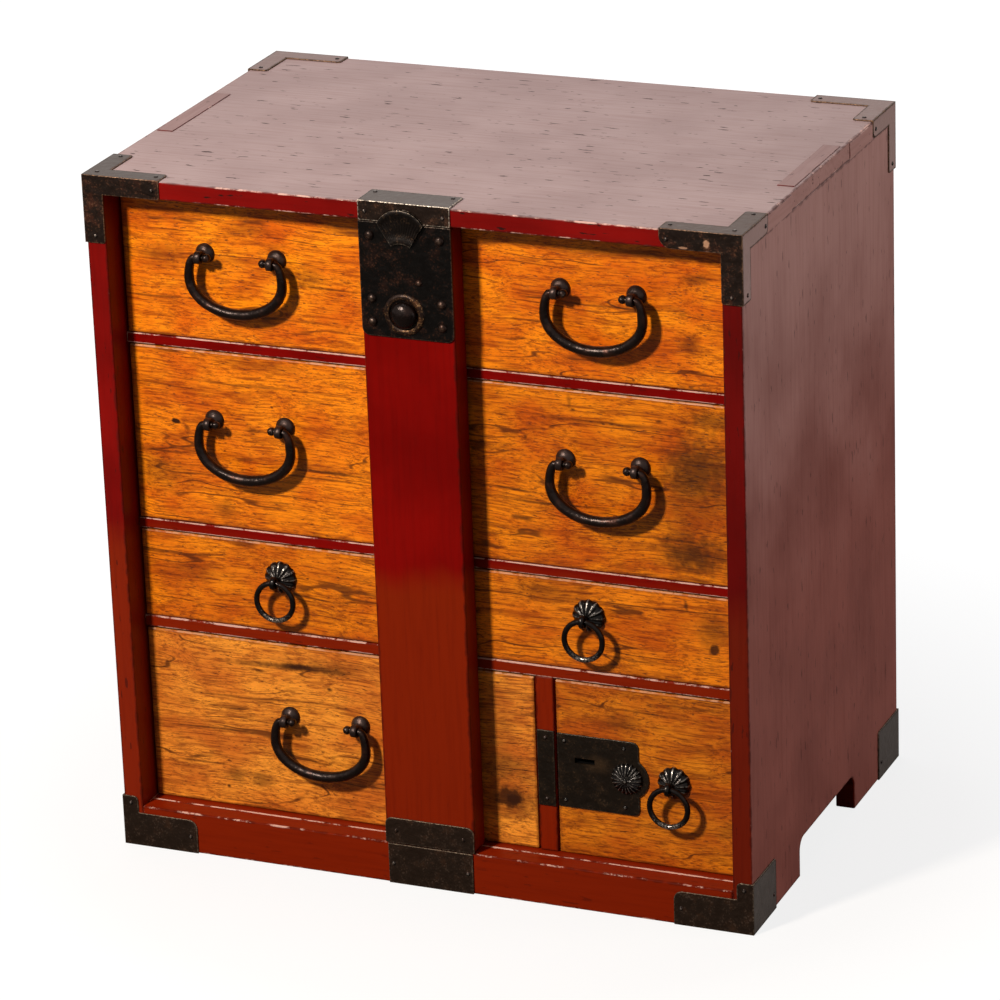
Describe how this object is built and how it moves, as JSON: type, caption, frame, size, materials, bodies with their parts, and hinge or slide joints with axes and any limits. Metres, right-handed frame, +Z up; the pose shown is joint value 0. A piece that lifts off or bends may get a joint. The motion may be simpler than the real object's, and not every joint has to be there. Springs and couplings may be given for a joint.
{
  "type": "jewelry tansu",
  "caption": "Small lacquered chest with iron corner caps, wooden drawers, drop handles and ring pulls, an upright locking bar down the front and a key-locked small drawer.",
  "frame": {"origin": "on the floor, under the middle of the whole chest's box, ironwork and knob included", "axes": "+X to the chest's right as seen from the front, +Y to the back, +Z up"},
  "size_m": [0.4536, 0.3072, 0.475],
  "materials": {
    "red_lacquer": "old red lacquer over softwood, satin, worn at the edges",
    "drawer_front_wood": "honey-coloured oiled softwood with dark grain lines, satin",
    "drawer_box_wood": "plain unfinished paulownia, matt",
    "forged_iron": "hand-forged iron with a dark brown-black patina",
    "lacquered_iron": "thin iron strap under the red-brown lacquer"
  },
  "bodies": {
    "case": {"left_side": "red_lacquer", "right_side": "red_lacquer", "top_board": "red_lacquer", "front_rail": "red_lacquer", "base_board": "red_lacquer", "back_panel": "red_lacquer", "divider": "red_lacquer", "deck": "red_lacquer", "shelves": "red_lacquer", "bay_post": "red_lacquer", "corner_irons": "forged_iron", "edge_straps": "lacquered_iron", "keeper_strap": "forged_iron", "rail_plate": "forged_iron", "strike_plate": "forged_iron", "case_nails": "forged_iron"},
    "bar": {"locking_bar": "red_lacquer", "bar_pins": "forged_iron", "bar_lock_plate": "forged_iron", "bar_crest": "forged_iron", "bar_foot_plate": "forged_iron", "bar_studs": "forged_iron", "bar_lock_case": "forged_iron"},
    "bar_knob": {"bar_knob": "forged_iron"},
    "bar_bolt": {"bar_bolt": "forged_iron"},
    "top_left_drawer": {"top_left_front": "drawer_front_wood", "top_left_box": "drawer_box_wood", "top_left_posts": "forged_iron"},
    "top_right_drawer": {"top_right_front": "drawer_front_wood", "top_right_box": "drawer_box_wood", "top_right_posts": "forged_iron"},
    "second_left_drawer": {"second_left_front": "drawer_front_wood", "second_left_box": "drawer_box_wood", "second_left_posts": "forged_iron"},
    "second_right_drawer": {"second_right_front": "drawer_front_wood", "second_right_box": "drawer_box_wood", "second_right_posts": "forged_iron"},
    "small_left_drawer": {"small_left_front": "drawer_front_wood", "small_left_box": "drawer_box_wood", "small_left_rosette": "forged_iron"},
    "small_right_drawer": {"small_right_front": "drawer_front_wood", "small_right_box": "drawer_box_wood", "small_right_rosette": "forged_iron"},
    "wide_drawer": {"wide_front": "drawer_front_wood", "wide_box": "drawer_box_wood", "wide_posts": "forged_iron"},
    "lock_drawer": {"lock_front": "drawer_front_wood", "lock_box": "drawer_box_wood", "lock_rosette": "forged_iron", "drawer_lock_plate": "forged_iron", "drawer_lock_case": "forged_iron"},
    "top_left_handle": {"top_left_bail": "forged_iron"},
    "top_right_handle": {"top_right_bail": "forged_iron"},
    "second_left_handle": {"second_left_bail": "forged_iron"},
    "second_right_handle": {"second_right_bail": "forged_iron"},
    "wide_handle": {"wide_bail": "forged_iron"},
    "small_left_pull": {"small_left_ring": "forged_iron"},
    "small_right_pull": {"small_right_ring": "forged_iron"},
    "lock_pull": {"lock_ring": "forged_iron"},
    "drawer_bolt": {"drawer_bolt": "forged_iron"}
  },
  "joints": [
    {"name": "bar_pull", "type": "slide", "parent": "case", "child": "bar", "axis": [0, -1, 0], "range_m": [0, 0.32]},
    {"name": "knob_turn", "type": "hinge", "parent": "bar", "child": "bar_knob", "pos_m": [-0.002, -0.1454, 0.4004], "axis": [0, -1, 0], "range_deg": [0, 90]},
    {"name": "bar_bolt_rise", "type": "slide", "parent": "bar", "child": "bar_bolt", "axis": [0, 0, 1], "range_m": [0, 0.008]},
    {"name": "top_left_slide", "type": "slide", "parent": "case", "child": "top_left_drawer", "axis": [0, -1, 0], "range_m": [0, 0.2]},
    {"name": "top_right_slide", "type": "slide", "parent": "case", "child": "top_right_drawer", "axis": [0, -1, 0], "range_m": [0, 0.2]},
    {"name": "second_left_slide", "type": "slide", "parent": "case", "child": "second_left_drawer", "axis": [0, -1, 0], "range_m": [0, 0.2]},
    {"name": "second_right_slide", "type": "slide", "parent": "case", "child": "second_right_drawer", "axis": [0, -1, 0], "range_m": [0, 0.2]},
    {"name": "small_left_slide", "type": "slide", "parent": "case", "child": "small_left_drawer", "axis": [0, -1, 0], "range_m": [0, 0.2]},
    {"name": "small_right_slide", "type": "slide", "parent": "case", "child": "small_right_drawer", "axis": [0, -1, 0], "range_m": [0, 0.2]},
    {"name": "wide_slide", "type": "slide", "parent": "case", "child": "wide_drawer", "axis": [0, -1, 0], "range_m": [0, 0.2]},
    {"name": "lock_slide", "type": "slide", "parent": "case", "child": "lock_drawer", "axis": [0, -1, 0], "range_m": [0, 0.2]},
    {"name": "top_left_handle_lift", "type": "hinge", "parent": "top_left_drawer", "child": "top_left_handle", "pos_m": [-0.1256, -0.1344, 0.4205], "axis": [-1, 0, 0], "range_deg": [0, 100]},
    {"name": "top_right_handle_lift", "type": "hinge", "parent": "top_right_drawer", "child": "top_right_handle", "pos_m": [0.1216, -0.1344, 0.4205], "axis": [-1, 0, 0], "range_deg": [0, 100]},
    {"name": "second_left_handle_lift", "type": "hinge", "parent": "second_left_drawer", "child": "second_left_handle", "pos_m": [-0.1256, -0.1344, 0.306], "axis": [-1, 0, 0], "range_deg": [0, 100]},
    {"name": "second_right_handle_lift", "type": "hinge", "parent": "second_right_drawer", "child": "second_right_handle", "pos_m": [0.1216, -0.1344, 0.306], "axis": [-1, 0, 0], "range_deg": [0, 100]},
    {"name": "wide_handle_lift", "type": "hinge", "parent": "wide_drawer", "child": "wide_handle", "pos_m": [-0.08175, -0.1344, 0.1005], "axis": [-1, 0, 0], "range_deg": [0, 100]},
    {"name": "small_left_ring_lift", "type": "hinge", "parent": "small_left_drawer", "child": "small_left_pull", "pos_m": [-0.109, -0.1359, 0.2], "axis": [-1, 0, 0], "range_deg": [0, 100]},
    {"name": "small_right_ring_lift", "type": "hinge", "parent": "small_right_drawer", "child": "small_right_pull", "pos_m": [0.109, -0.1359, 0.2], "axis": [-1, 0, 0], "range_deg": [0, 100]},
    {"name": "lock_ring_lift", "type": "hinge", "parent": "lock_drawer", "child": "lock_pull", "pos_m": [0.165, -0.1359, 0.09], "axis": [-1, 0, 0], "range_deg": [0, 100]},
    {"name": "drawer_bolt_throw", "type": "slide", "parent": "lock_drawer", "child": "drawer_bolt", "axis": [-1, 0, 0], "range_m": [0, 0.008]}
  ],
  "couplings": [
    {"joint": "knob_turn", "follows": "bar_bolt_rise", "rad_per_m": 196.3},
    {"joint": "top_left_slide", "follows": "bar_pull", "ratio": 0.625},
    {"joint": "top_right_slide", "follows": "bar_pull", "ratio": 0.625},
    {"joint": "second_left_slide", "follows": "bar_pull", "ratio": 0.625},
    {"joint": "second_right_slide", "follows": "bar_pull", "ratio": 0.625},
    {"joint": "small_left_slide", "follows": "bar_pull", "ratio": 0.625},
    {"joint": "small_right_slide", "follows": "bar_pull", "ratio": 0.625},
    {"joint": "wide_slide", "follows": "bar_pull", "ratio": 0.625}
  ]
}
